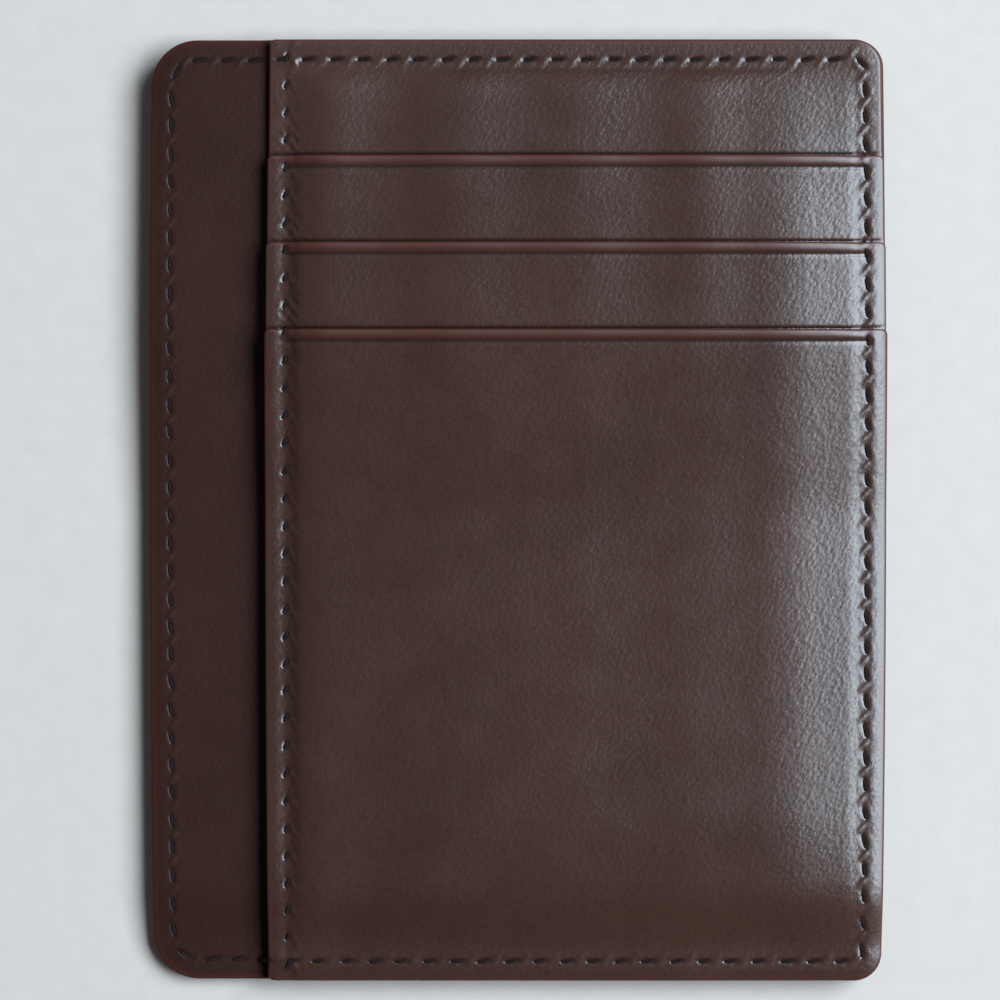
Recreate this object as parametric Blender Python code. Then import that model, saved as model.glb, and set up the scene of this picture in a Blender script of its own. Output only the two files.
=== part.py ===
"""A slim front-pocket card wallet in dark brown leather, modelled sheet by sheet.

It lies on its back with the front facing +Z. X runs across it, Y runs up its length, and the
origin is the centre of its outline at the level of the surface it lies on. The back is a stack
of full-width sheets. The front is a narrower stack, so a strip of the back's leather facing
shows along -X, and the free edge there is the mouth of the cash pocket. All sizes are in metres.
"""

import math
from functools import partial

import bmesh
import bpy
from mathutils import Vector

# Outline
WIDTH = 0.081
HEIGHT = 0.1035
SIDE_BOW = 0.0004
STRIP = 0.0128
CORNER_LEFT = 0.005
CORNER_RIGHT = 0.003
CORNER_CUT = 0.0006

# Card slots, the same on the front and the back
SLOT_DROP = 0.01275
SLOT_PITCH = 0.0095
FACING_DEPTH = 0.018
SLOT_1_DEPTH = 0.0795
LAYER_GROW = 0.0001

# Thicknesses and the clearances between sheets
LEATHER = 0.00045
FACING = 0.0004
TEXTILE = 0.0001
FILM = 0.0002
FOIL = 0.0001
GAP = 0.00005
SEAM_SPACE = 0.0001
SLOT_SEAM_SPACE = 0.0002
WINDOW_SPACE = 0.00025
CASH_SPACE = 0.00035
SETTLE = 0.004

# Edges, creases and seams
EDGE_ROUND = 0.00013
CREASE_IN = 0.00115
CREASE_WIDTH = 0.00035
CREASE_DEPTH = 0.00012
SEAM_IN = 0.0022
SIDE_SEAM_IN = 0.0022
THREAD_WIDTH = 0.0005
THREAD_HEIGHT = 0.00018
THREAD_RECESS = 0.00005
THREAD_CLEAR = 0.00005
WINDOW_THREAD_HEIGHT = 0.00014
SLOT_THREAD_HEIGHT = 0.0001
RAMP = 0.8
TEXTILE_IN = 0.0006
FOIL_IN = 0.0012

# Identity-card window on the back
WINDOW_SIZE = (0.046, 0.044)
WINDOW_FLOOR = 0.012
WINDOW_CORNER = 0.003
WINDOW_SEAM_OUT = 0.0015
FILM_OVERLAP = 0.0025
NOTCH_RADIUS = 0.008

ARC_STEPS = 4
BOW_STEPS = 10

RIGHT = WIDTH / 2
LEFT = -RIGHT
TOP = HEIGHT / 2
BOTTOM = -TOP
FRONT_LEFT = LEFT + STRIP
SLOT_EDGES = [TOP - SLOT_DROP - i * SLOT_PITCH for i in range(3)]
SIDE_SEAM_X = FRONT_LEFT + SIDE_SEAM_IN
CARD_X = (SIDE_SEAM_X + RIGHT - SEAM_IN) / 2

FRONT_EDGE = FRONT_LEFT - GAP
SLOT_CLIMB = RAMP * (FACING + TEXTILE + 2 * GAP)
CLIMB_STOPS = [y + GAP + run for y in SLOT_EDGES for run in (0.0, SLOT_CLIMB)]
SLOT_1_FLOOR = SLOT_EDGES[0] - SLOT_1_DEPTH
FILM_FLOOR = BOTTOM + WINDOW_FLOOR - FILM_OVERLAP

# Every sheet from the surface upwards: name, thickness, the space left above it and the y of
# its lower end. Below that end the sheets above it settle on to what is under it.
STACK = (
    ("back_window_frame", LEATHER, GAP, BOTTOM),
    ("back_window_film", FILM, WINDOW_SPACE, FILM_FLOOR),
    ("back_slot_2_facing", FACING, GAP, SLOT_EDGES[1] - FACING_DEPTH),
    ("back_slot_2_liner", TEXTILE, GAP, BOTTOM),
    ("back_slot_1_facing", FACING, GAP, SLOT_EDGES[0] - FACING_DEPTH),
    ("back_slot_1_bottom_thread", SLOT_SEAM_SPACE, 0.0, SLOT_1_FLOOR),
    ("back_slot_1_liner", TEXTILE, GAP, SLOT_1_FLOOR),
    ("back_panel", LEATHER, SEAM_SPACE, BOTTOM),
    ("back_shield", FOIL, SEAM_SPACE, BOTTOM),
    ("back_lining", LEATHER, CASH_SPACE, BOTTOM),
    ("front_lining", TEXTILE, GAP, BOTTOM),
    ("front_shield", FOIL, GAP, BOTTOM),
    ("front_panel", LEATHER, GAP, BOTTOM),
    ("front_slot_1_liner", TEXTILE, GAP, SLOT_1_FLOOR),
    ("front_slot_1_bottom_thread", SLOT_SEAM_SPACE, 0.0, SLOT_1_FLOOR),
    ("front_slot_1_facing", FACING, GAP, SLOT_EDGES[0] - FACING_DEPTH),
    ("front_slot_2_liner", TEXTILE, GAP, BOTTOM),
    ("front_slot_2_facing", FACING, GAP, SLOT_EDGES[1] - FACING_DEPTH),
    ("front_slot_3_liner", TEXTILE, GAP, BOTTOM),
    ("front_slot_3_panel", LEATHER, 0.0, BOTTOM),
)
FRONT_OUTER = (
    "front_panel",
    "front_slot_1_facing",
    "front_slot_2_facing",
    "front_slot_3_panel",
)
BACK_OUTER = ("back_panel", "back_slot_1_facing", "back_slot_2_facing", "back_window_frame")
THICKNESS = {name: thickness for name, thickness, _, _ in STACK}
SETTLE_STOPS = sorted(
    end - GAP - run for _, _, _, end in STACK if end > BOTTOM for run in (0.0, SETTLE)
)


def low_face(name, y):
    """The z of a sheet's lower face at y: what the sheets under it add up to there."""
    z = 0.0
    for other, thickness, space, end in STACK:
        if other == name:
            break
        share = 1.0 if end == BOTTOM else (y - end + GAP + SETTLE) / SETTLE
        z += (thickness + space) * min(max(share, 0.0), 1.0)
    return z


def high_face(name, y):
    return low_face(name, y) + THICKNESS[name]


def clear_scene():
    for obj in list(bpy.data.objects):
        bpy.data.objects.remove(obj, do_unlink=True)


def material(name, color, roughness, metallic=0.0, transmission=0.0):
    mat = bpy.data.materials.new(name)
    mat.use_nodes = True
    shader = mat.node_tree.nodes["Principled BSDF"]
    shader.inputs["Base Color"].default_value = (*color, 1.0)
    shader.inputs["Roughness"].default_value = roughness
    shader.inputs["Metallic"].default_value = metallic
    shader.inputs["Transmission Weight"].default_value = transmission
    mat.diffuse_color = (*color, 1.0)
    return mat


# Outlines


def bowed(x, y):
    """Draws a point in towards the centreline, most at the top and the bottom edge."""
    return x * (1 - SIDE_BOW / RIGHT * (y / TOP) ** 2)


def arc(centre, radius, start):
    """A quarter turn of (point, normal) pairs, counter-clockwise from the angle start."""
    pairs = []
    for step in range(ARC_STEPS + 1):
        angle = start + math.pi / 2 * step / ARC_STEPS
        normal = Vector((math.cos(angle), math.sin(angle)))
        pairs.append((Vector(centre) + radius * normal, normal))
    return pairs


def side_stops(low, high, stops):
    """The values of y for points up a side, close enough together to follow the bow."""
    bow = [BOTTOM + HEIGHT * i / BOW_STEPS for i in range(1, BOW_STEPS)]
    return sorted(y for y in {*bow, *SETTLE_STOPS, *stops} if low + GAP < y < high - GAP)


def rounded_outline(left, right, bottom, top, corners, stops_x=(), stops_y=()):
    """(point, outward normal) pairs, counter-clockwise, and the rungs: index pairs of side
    points that face each other, from the lowest to the highest, along which a sheet bends.
    corners: lower left, lower right, upper right, upper left. stops_x and stops_y add points
    to the ends and to the sides."""
    low_left, low_right, up_right, up_left = corners
    ys = side_stops(bottom + max(low_left, low_right), top - max(up_left, up_right), stops_y)
    xs = sorted(stops_x)
    pairs = arc((left + low_left, bottom + low_left), low_left, math.pi)
    pairs += [(Vector((x, bottom)), Vector((0, -1))) for x in xs]
    pairs += arc((right - low_right, bottom + low_right), low_right, 1.5 * math.pi)
    first = len(pairs)
    pairs += [(Vector((right, y)), Vector((1, 0))) for y in ys]
    pairs += arc((right - up_right, top - up_right), up_right, 0.0)
    pairs += [(Vector((x, top)), Vector((0, 1))) for x in reversed(xs)]
    pairs += arc((left + up_left, top - up_left), up_left, math.pi / 2)
    pairs += [(Vector((left, y)), Vector((-1, 0))) for y in reversed(ys)]
    rungs = [(first + i, len(pairs) - 1 - i) for i in range(len(ys))]
    return pairs, rungs


def circle_outline(centre, radius, steps):
    pairs = []
    for step in range(steps):
        angle = 2 * math.pi * step / steps
        normal = Vector((math.cos(angle), math.sin(angle)))
        pairs.append((Vector(centre) + radius * normal, normal))
    return pairs, []


# Meshes


def finish(name, bm, mat=None):
    """Turns a bmesh into a named object, with its normals facing out."""
    bmesh.ops.recalc_face_normals(bm, faces=bm.faces)
    mesh = bpy.data.meshes.new(name)
    bm.to_mesh(mesh)
    bm.free()
    mesh.shade_smooth()
    mesh.set_sharp_from_angle(angle=math.radians(30))
    obj = bpy.data.objects.new(name, mesh)
    bpy.context.collection.objects.link(obj)
    if mat:
        mesh.materials.append(mat)
    return obj


def bridge(bm, lower, upper):
    """Quads between two closed rings of vertices."""
    for i in range(len(lower)):
        j = (i + 1) % len(lower)
        bm.faces.new((lower[i], lower[j], upper[j], upper[i]))


def cap(bm, ring, rungs):
    """Flat faces over a ring of vertices, split along its rungs."""
    if not rungs:
        bm.faces.new(ring)
        return
    right, left = rungs[0]
    bm.faces.new(ring[: right + 1] + ring[left:])
    for (right, left), (next_right, next_left) in zip(rungs, rungs[1:]):
        bm.faces.new(ring[right : next_right + 1] + ring[next_left : left + 1])
    right, left = rungs[-1]
    bm.faces.new(ring[right : left + 1])


def slab(name, outline, low, high, mat=None, edge=0.0):
    """A sheet over an outline, between two faces given as functions of y. edge chamfers both
    its rims, as a burnished edge."""
    bm = bmesh.new()
    pairs, rungs = outline
    layers = [(low, 0.0, 0.0), (high, 0.0, 0.0)]
    if edge:
        layers = [(low, 0.0, edge), (low, edge, 0.0), (high, -edge, 0.0), (high, 0.0, edge)]
    rings = []
    for face, lift, inset in layers:
        places = [point - inset * normal for point, normal in pairs]
        rings.append([bm.verts.new((bowed(p.x, p.y), p.y, face(p.y) + lift)) for p in places])
    for lower, upper in zip(rings, rings[1:]):
        bridge(bm, lower, upper)
    cap(bm, rings[0], rungs)
    cap(bm, rings[-1], rungs)
    return finish(name, bm, mat)


def sheet_slab(name, outline, mat, edge=0.0):
    """The sheet of that name, at its place in the stack."""
    return slab(name, outline, partial(low_face, name), partial(high_face, name), mat, edge)


def swept(name, path, section, mat=None, closed=False):
    """Carries a section along a path of (x, y, z) points. Each point of the section is
    (sideways, upwards), with sideways measured level and square to the path."""
    bm = bmesh.new()
    rings = []
    for i, here in enumerate(path):
        before = path[i - 1] if closed or i else here
        after = path[(i + 1) % len(path)] if closed or i + 1 < len(path) else here
        along = Vector((after[0] - before[0], after[1] - before[1]))
        along.normalize()
        across = Vector((along.y, -along.x))
        ring = []
        for sideways, upwards in section:
            x = here[0] + sideways * across.x
            y = here[1] + sideways * across.y
            ring.append(bm.verts.new((bowed(x, y), y, here[2] + upwards)))
        rings.append(ring)
    for lower, upper in zip(rings, rings[1:]):
        bridge(bm, lower, upper)
    if closed:
        bridge(bm, rings[-1], rings[0])
    else:
        bm.faces.new(rings[0][::-1])
        bm.faces.new(rings[-1])
    return finish(name, bm, mat)


def subtract(obj, cutter):
    cut = obj.modifiers.new("cut_" + cutter.name, "BOOLEAN")
    cut.operation = "DIFFERENCE"
    cut.object = cutter
    cutter.hide_render = True
    cutter.display_type = "WIRE"


# Seams


def thread_section(height):
    """Six points of a flattened thread that stands on z = 0."""
    half = THREAD_WIDTH / 2
    return (
        (-half, height / 2),
        (-half / 2, height),
        (half / 2, height),
        (half, height / 2),
        (half / 2, 0.0),
        (-half / 2, 0.0),
    )


def groove_section(side):
    """The channel that a thread lies in: side is 1 on the front and -1 on the back."""
    half = THREAD_WIDTH / 2 + THREAD_CLEAR
    low = -THREAD_CLEAR
    high = THREAD_HEIGHT + THREAD_CLEAR
    if side > 0:
        high += 2 * THREAD_RECESS
    else:
        low -= 2 * THREAD_RECESS
    return ((-half, high), (half, high), (half, low), (-half, low))


def front_surface(x, y):
    """The front's outer surface, with a seam's climb over each slot's step, and from the
    strip on to the front stack."""
    z = climbed(y, FRONT_OUTER, high_face)
    strip = high_face("back_lining", y)
    run = RAMP * (z - strip)
    share = min(max((x - FRONT_EDGE + run) / run, 0.0), 1.0)
    return strip + (z - strip) * share


def back_surface(_, y):
    return climbed(y, BACK_OUTER, low_face)


def climbed(y, sheets, face):
    """An outer surface at y, from the panel at the top over the step of each slot in turn."""
    z = face(sheets[0], y)
    for under, over, edge in zip(sheets, sheets[1:], SLOT_EDGES):
        share = min(max((edge + GAP + SLOT_CLIMB - y) / SLOT_CLIMB, 0.0), 1.0)
        z += (face(over, y) - face(under, y)) * share
    return z


def perimeter_path(surface, stops_x):
    """The seam's line round the wallet, at the outer surface of what it crosses."""
    corners = [
        max(corner - SEAM_IN, THREAD_WIDTH)
        for corner in (CORNER_LEFT, CORNER_RIGHT, CORNER_RIGHT, CORNER_LEFT)
    ]
    sides = (LEFT + SEAM_IN, RIGHT - SEAM_IN, BOTTOM + SEAM_IN, TOP - SEAM_IN)
    pairs, _ = rounded_outline(*sides, corners, stops_x, CLIMB_STOPS)
    return [(p.x, p.y, surface(p.x, p.y)) for p, _ in pairs]


def side_path(surface):
    """The line of a side seam, which stops short of the perimeter seam at both ends."""
    end = TOP - SEAM_IN - 2 * THREAD_WIDTH
    ys = [-end] + side_stops(-end, end, CLIMB_STOPS) + [end]
    return [(SIDE_SEAM_X, y, surface(SIDE_SEAM_X, y)) for y in ys]


def lifted(path, dz):
    return [(x, y, z + dz) for x, y, z in path]


def outer_seam(name, path, side, mat, sheets, closed):
    """A recessed thread on an outer face, and the groove it lies in."""
    if side > 0:
        path = lifted(path, -THREAD_RECESS - THREAD_HEIGHT)
    else:
        path = lifted(path, THREAD_RECESS)
    groove = swept(name + "_groove", path, groove_section(side), closed=closed)
    for sheet in sheets:
        subtract(sheet, groove)
    swept(name, path, thread_section(THREAD_HEIGHT), mat, closed)


# Sheets


def sheet_outline(left, right, bottom, top):
    """An outline with the wallet's own corners where it reaches the wallet's own ends."""
    own_left = CORNER_LEFT if left == LEFT else CORNER_CUT
    low_left = own_left if bottom == BOTTOM else CORNER_CUT
    low_right = CORNER_RIGHT if bottom == BOTTOM else CORNER_CUT
    up_right = CORNER_RIGHT if top == TOP else CORNER_CUT
    up_left = own_left if top == TOP else CORNER_CUT
    corners = (low_left, low_right, up_right, up_left)
    return rounded_outline(left, right, bottom, top, corners)


def leather_sheet(name, mat, left, right, bottom, top):
    outline = sheet_outline(left, right, bottom, top)
    return sheet_slab(name, outline, mat, EDGE_ROUND)


def thin_sheet(name, mat, left, right, bottom, top, lower, upper):
    """A sheet of cloth, foil or film. lower and upper are its corner radii."""
    outline = rounded_outline(left, right, bottom, top, (lower, lower, upper, upper))
    return sheet_slab(name, outline, mat)


def add_crease(sheet, left, right, top, side):
    """A pressed line along a slot's edge, on the outer face: side is 1 on the front."""
    y = top - CREASE_IN
    face = high_face if side > 0 else low_face
    z = face(sheet.name, y)
    path = [(left + SEAM_IN / 2, y, z), (right - SEAM_IN / 2, y, z)]
    half = CREASE_WIDTH / 2
    section = ((-half, side * GAP), (half, side * GAP), (0.0, -side * CREASE_DEPTH))
    subtract(sheet, swept(sheet.name + "_crease", path, section))


def add_shield(name, mats):
    """A foil inside the seams."""
    inset = SEAM_IN + FOIL_IN
    left = SIDE_SEAM_X + FOIL_IN
    ends = (BOTTOM + inset, TOP - inset)
    thin_sheet(name, mats["foil"], left, RIGHT - inset, *ends, CORNER_CUT, CORNER_CUT)


def build_liners(half, mats, left):
    """The cloth that carries each slot's facing. The first slot's stops short and is closed
    by a hidden seam, and the second slot's runs down to the perimeter seam."""
    corner = (CORNER_LEFT if left == LEFT else CORNER_RIGHT) - TEXTILE_IN
    sides = (left + TEXTILE_IN, RIGHT - TEXTILE_IN)
    for i, bottom in ((1, SLOT_1_FLOOR), (2, BOTTOM + TEXTILE_IN)):
        name = f"{half}_slot_{i}_liner"
        top = SLOT_EDGES[i - 1] - TEXTILE_IN
        thin_sheet(name, mats["textile"], *sides, bottom, top, corner, CORNER_CUT)
    seam = f"{half}_slot_1_bottom_thread"
    y = SLOT_1_FLOOR + SEAM_IN
    z = low_face(seam, y) + (SLOT_SEAM_SPACE - SLOT_THREAD_HEIGHT) / 2
    path = [(left + 2 * SEAM_IN, y, z), (RIGHT - 2 * SEAM_IN, y, z)]
    swept(seam, path, thread_section(SLOT_THREAD_HEIGHT), mats["thread"])


def build_back(mats):
    """The back's full-width sheets, from the leather facing down to the window pocket."""
    leather = mats["leather"]
    facing = mats["facing_leather"]
    extents = {
        "back_panel": (BOTTOM, TOP),
        "back_slot_1_facing": (SLOT_EDGES[0] - FACING_DEPTH, SLOT_EDGES[0]),
        "back_slot_2_facing": (SLOT_EDGES[1] - FACING_DEPTH, SLOT_EDGES[1]),
        "back_window_frame": (BOTTOM, SLOT_EDGES[2]),
    }
    sheets = {"back_lining": leather_sheet("back_lining", facing, LEFT, RIGHT, BOTTOM, TOP)}
    for name, (bottom, top) in extents.items():
        sheets[name] = leather_sheet(name, leather, LEFT, RIGHT, bottom, top)
        if top < TOP:
            add_crease(sheets[name], LEFT, RIGHT, top, -1)
    build_liners("back", mats, LEFT)
    add_shield("back_shield", mats)
    return sheets


def build_window(frame, mats):
    """The window in the back pocket: its opening, thumb notch, film and two threads."""
    width, height = WINDOW_SIZE
    left = CARD_X - width / 2
    right = CARD_X + width / 2
    bottom = BOTTOM + WINDOW_FLOOR
    top = bottom + height
    corners = [WINDOW_CORNER] * 4
    opening = rounded_outline(left, right, bottom, top, corners)
    notch = circle_outline((CARD_X, SLOT_EDGES[2]), NOTCH_RADIUS, 8 * ARC_STEPS)
    for name, outline in (("window_cutter", opening), ("notch_cutter", notch)):
        subtract(frame, slab(name, outline, lambda y: -LEATHER, lambda y: 2 * LEATHER))
    over = FILM_OVERLAP
    film = (left - over, right + over, bottom - over, top + over)
    thin_sheet("back_window_film", mats["film"], *film, WINDOW_CORNER, WINDOW_CORNER)
    out = WINDOW_SEAM_OUT
    line, _ = rounded_outline(left - out, right + out, bottom - out, top + out, corners)
    path = [(p.x, p.y, 0.0) for p, _ in line]
    outer_seam("back_window_needle_thread", path, -1, mats["thread"], [frame], True)
    inner = lifted(path, high_face("back_window_film", 0.0) + GAP)
    section = thread_section(WINDOW_THREAD_HEIGHT)
    swept("back_window_bobbin_thread", inner, section, mats["thread"], True)


def build_front(mats):
    """The front stack: lining, foil, panel, two slot facings and the large pocket. Each layer
    is a little wider than the one under it."""
    extents = {
        "front_panel": (BOTTOM, TOP),
        "front_slot_1_facing": (SLOT_EDGES[0] - FACING_DEPTH, SLOT_EDGES[0]),
        "front_slot_2_facing": (SLOT_EDGES[1] - FACING_DEPTH, SLOT_EDGES[1]),
        "front_slot_3_panel": (BOTTOM, SLOT_EDGES[2]),
    }
    sheets = {}
    inset = len(extents) * LAYER_GROW
    for name, (bottom, top) in extents.items():
        inset -= LAYER_GROW
        left = FRONT_LEFT + inset
        right = RIGHT - inset
        sheets[name] = leather_sheet(name, mats["leather"], left, right, bottom, top)
        if top < TOP:
            add_crease(sheets[name], left, right, top, 1)
    build_liners("front", mats, FRONT_LEFT)
    add_shield("front_shield", mats)
    left = FRONT_LEFT + TEXTILE_IN
    right = RIGHT - TEXTILE_IN
    bottom = BOTTOM + TEXTILE_IN
    lower = CORNER_RIGHT - TEXTILE_IN
    tops = (("front_lining", TOP, lower), ("front_slot_3_liner", SLOT_EDGES[2], CORNER_CUT))
    for name, end, upper in tops:
        top = end - TEXTILE_IN
        thin_sheet(name, mats["textile"], left, right, bottom, top, lower, upper)
    return sheets


def build_seams(back, front, mats):
    """The perimeter seam through everything, and a side seam through each half."""
    thread = mats["thread"]
    needle_sheets = [back["back_lining"], *front.values()]
    front_sheets = list(front.values())
    back_sheets = [sheet for name, sheet in back.items() if name != "back_lining"]
    climbs = [FRONT_EDGE]
    for sheet, y in (("front_panel", TOP), ("front_slot_3_panel", BOTTOM)):
        rise = high_face(sheet, y) - high_face("back_lining", y)
        climbs.append(FRONT_EDGE - RAMP * rise)
    front_path = perimeter_path(front_surface, climbs)
    back_path = perimeter_path(back_surface, [])
    outer_seam("perimeter_needle_thread", front_path, 1, thread, needle_sheets, True)
    outer_seam("perimeter_bobbin_thread", back_path, -1, thread, back_sheets, True)
    front_side = side_path(front_surface)
    back_side = side_path(back_surface)
    outer_seam("front_side_needle_thread", front_side, 1, thread, front_sheets, False)
    outer_seam("back_side_needle_thread", back_side, -1, thread, back_sheets, False)
    section = thread_section(THREAD_HEIGHT)
    under_lining = side_path(lambda x, y: low_face("front_lining", y) - GAP - THREAD_HEIGHT)
    swept("front_side_bobbin_thread", under_lining, section, thread)
    over_panel = side_path(lambda x, y: high_face("back_panel", y) + GAP)
    swept("back_side_bobbin_thread", over_panel, section, thread)


def main():
    clear_scene()
    mats = {
        "leather": material("leather", (0.066, 0.043, 0.040), 0.42),
        "facing_leather": material("facing_leather", (0.045, 0.026, 0.022), 0.5),
        "textile": material("textile", (0.030, 0.022, 0.020), 0.85),
        "foil": material("foil", (0.72, 0.72, 0.70), 0.35, metallic=1.0),
        "film": material("film", (0.90, 0.92, 0.93), 0.12, transmission=0.9),
        "thread": material("thread", (0.040, 0.024, 0.018), 0.6),
    }
    back = build_back(mats)
    build_window(back["back_window_frame"], mats)
    front = build_front(mats)
    build_seams(back, front, mats)


main()
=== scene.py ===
"""Looks of the slim card wallet: every sheet and every stitch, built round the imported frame.

The wallet lies on its back. Each sheet of the frame is rebuilt as a fine closed mesh that
follows the same stack, with rounded painted edges, pressed creases, the beds that stitches press
in, and the soft swell and ripples that card pockets take. Lengths are in metres, named in mm.
"""

import math

import bpy
import numpy as np
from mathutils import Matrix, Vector
from mathutils.geometry import delaunay_2d_cdt


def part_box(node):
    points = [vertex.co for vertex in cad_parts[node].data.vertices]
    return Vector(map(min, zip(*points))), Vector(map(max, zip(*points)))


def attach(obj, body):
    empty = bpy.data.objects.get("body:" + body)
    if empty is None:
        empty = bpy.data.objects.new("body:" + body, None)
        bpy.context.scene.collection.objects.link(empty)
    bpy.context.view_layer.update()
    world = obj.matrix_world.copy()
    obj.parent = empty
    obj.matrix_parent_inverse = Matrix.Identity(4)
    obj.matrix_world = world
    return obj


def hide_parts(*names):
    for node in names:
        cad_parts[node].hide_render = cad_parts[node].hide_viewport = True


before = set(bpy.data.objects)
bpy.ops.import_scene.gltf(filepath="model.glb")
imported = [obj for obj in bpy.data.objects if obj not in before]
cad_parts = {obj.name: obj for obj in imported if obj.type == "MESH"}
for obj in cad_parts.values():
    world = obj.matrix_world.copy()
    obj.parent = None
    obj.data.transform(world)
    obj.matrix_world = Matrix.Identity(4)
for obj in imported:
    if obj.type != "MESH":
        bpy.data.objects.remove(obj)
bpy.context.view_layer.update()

MM = 0.001


def side(node, end, axis):
    """One side of a CAD node's box: end is 0 for low and 1 for high, axis 0, 1 or 2."""
    return float(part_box(node)[end][axis])


# Outline, from the frame
LEFT = side("back_lining", 0, 0)
RIGHT = side("back_lining", 1, 0)
BOTTOM = side("back_lining", 0, 1)
TOP = side("back_lining", 1, 1)
FRONT_LEFT = side("front_slot_3_panel", 0, 0)
SLOT_EDGES = [
    side(node, 1, 1)
    for node in ("front_slot_1_facing", "front_slot_2_facing", "front_slot_3_panel")
]
SIDE_BOW = 0.4 * MM
CORNER_LEFT = 5.0 * MM
CORNER_RIGHT = 3.0 * MM
CORNER_CUT = 0.6 * MM
LAYER_GROW = 0.1 * MM
SEAM_IN = 2.2 * MM
SIDE_SEAM_X = FRONT_LEFT + SEAM_IN
CARD_X = (SIDE_SEAM_X + RIGHT - SEAM_IN) / 2

# Window and thumb notch in the back's large pocket
WINDOW_SIZE = (46.0 * MM, 44.0 * MM)
WINDOW_FLOOR = BOTTOM + 12.0 * MM
WINDOW_CORNER = 3.0 * MM
WINDOW_SEAM_OUT = 1.5 * MM
NOTCH_RADIUS = 8.0 * MM
FILM_OVERLAP = 2.5 * MM

# Thicknesses, spaces and insets
LEATHER = 0.45 * MM
FACING = 0.4 * MM
TEXTILE = 0.1 * MM
FILM = 0.2 * MM
FOIL = 0.1 * MM
GAP = 0.05 * MM
SEAM_SPACE = 0.1 * MM
SLOT_SEAM_SPACE = 0.2 * MM
WINDOW_SPACE = 0.25 * MM
CASH_SPACE = 0.35 * MM
TEXTILE_IN = 0.6 * MM
FOIL_IN = 1.2 * MM
FACING_RUN = 13.0 * MM
LINER_RUN = 8.0 * MM

# Seams
PITCH = 3.05 * MM
STITCH = 1.85 * MM
SIDE_STITCH = 1.35 * MM
RIM_START = 0.35
RIM_SLANT = math.radians(8)
SIDE_SLANT = math.radians(-24)
SIDE_SEAM_SHORT = 0.4 * MM
PLACE_VARIES = 0.07 * MM
ANGLE_VARIES = 0.06
LENGTH_VARIES = 0.06

# Thread: plies twisted together, which sink into the leather and dive in at both ends. PLY is how
# far each lies from the middle, and its own radius is PLY times PLY_FULLNESS.
PLY = 0.11 * MM
PLIES = 3
PLY_FULLNESS = 1.12
PLY_FLATTENING = 0.8
PLY_TWIST = 2.4
END_SLIMMING = 0.25
DIVE = 0.26 * MM
SINK = 0.12 * MM

# What a stitch presses into the leather: its bed, the lips beside it, the ridge ahead of it, the
# fold that the side seam draws beside it, and the shade painted round its bed. BED_LENGTH and
# SHADE_LENGTH are shares of a stitch.
BED_DEPTH = 0.2 * MM
BED_LENGTH = 0.36
BED_WIDTH = 0.16 * MM
LIP_HEIGHT = 0.03 * MM
LIP_OUT = 0.6 * MM
LIP_WIDTH = 0.28 * MM
LIP_LENGTH = 0.8 * MM
RIDGE_HEIGHT = 0.11 * MM
RIDGE_ANGLE = math.radians(48)
RIDGE_LENGTH = 0.75 * MM
RIDGE_WIDTH = 0.24 * MM
FOLD_SHARE = 0.8
FOLD_ANGLE = math.radians(112)
FOLD_LENGTH = 0.6 * MM
FOLD_PLACE = (0.85 * MM, -0.5 * MM)
ON_SIDE_SEAM = 0.3 * MM
SHADE_LENGTH = 0.52
SHADE_WIDTH = 0.28 * MM
STITCH_REACH = 2.6 * MM

# How far the seams and the edges draw the stack together, as shares of its height
RIM_PULL = 0.05
RIM_PULL_WIDTH = 0.8 * MM
SIDE_PULL = 0.13
SIDE_PULL_WIDTH = 1.1 * MM
FRONT_EDGE_PULL = 0.24
BACK_EDGE_PULL = 0.13
EDGE_RUN = 2.1 * MM
EDGE_POWER = 1.5
HINGE_RUN = 2.0 * MM

# Swell of the card pockets: where it starts inside the seams (left, right, bottom, top), and the
# runs in which it rises from them
PUFF = 1.2 * MM
SWELL_IN = tuple(d * MM for d in (0.2, 0.1, 0.3, 0.4))
SWELL_SEAM_RUN = 5.0 * MM
SWELL_LEFT_SHARE = 0.3
SWELL_LEFT_AHEAD = 6.0 * MM
SWELL_LEFT_RUN = 34.0 * MM
SWELL_LEFT_CATCH = 1.5 * MM
SWELL_RIGHT_RUN = 12.0 * MM
SWELL_TOP_SHARE = 0.5
SWELL_TOP_RUN = 17.0 * MM
SWELL_BOTTOM_AHEAD = 1.0 * MM
SWELL_BOTTOM_RUN = 18.0 * MM
SWELL_BOTTOM_CATCH = 3.0 * MM

# Ripples of the front: the x, half width and share of each crest, and how they fade
RIPPLE = 0.26 * MM
CRESTS = (
    (-20.6 * MM, 4.2 * MM, 1.4),
    (-6.2 * MM, 4.6 * MM, 1.0),
    (7.5 * MM, 4.4 * MM, 0.8),
    (20.5 * MM, 4.2 * MM, 1.0),
)
RIPPLE_LEAN = 0.02
RIPPLE_REST = 0.22
RIPPLE_BELOW = 14 * MM
RIPPLE_FADE_RUN = 34 * MM
RIPPLE_TOP_RUN = 3.0 * MM
RIPPLE_LEFT_RUN = 4.0 * MM
RIPPLE_RIGHT_RUN = 6.0 * MM
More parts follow.
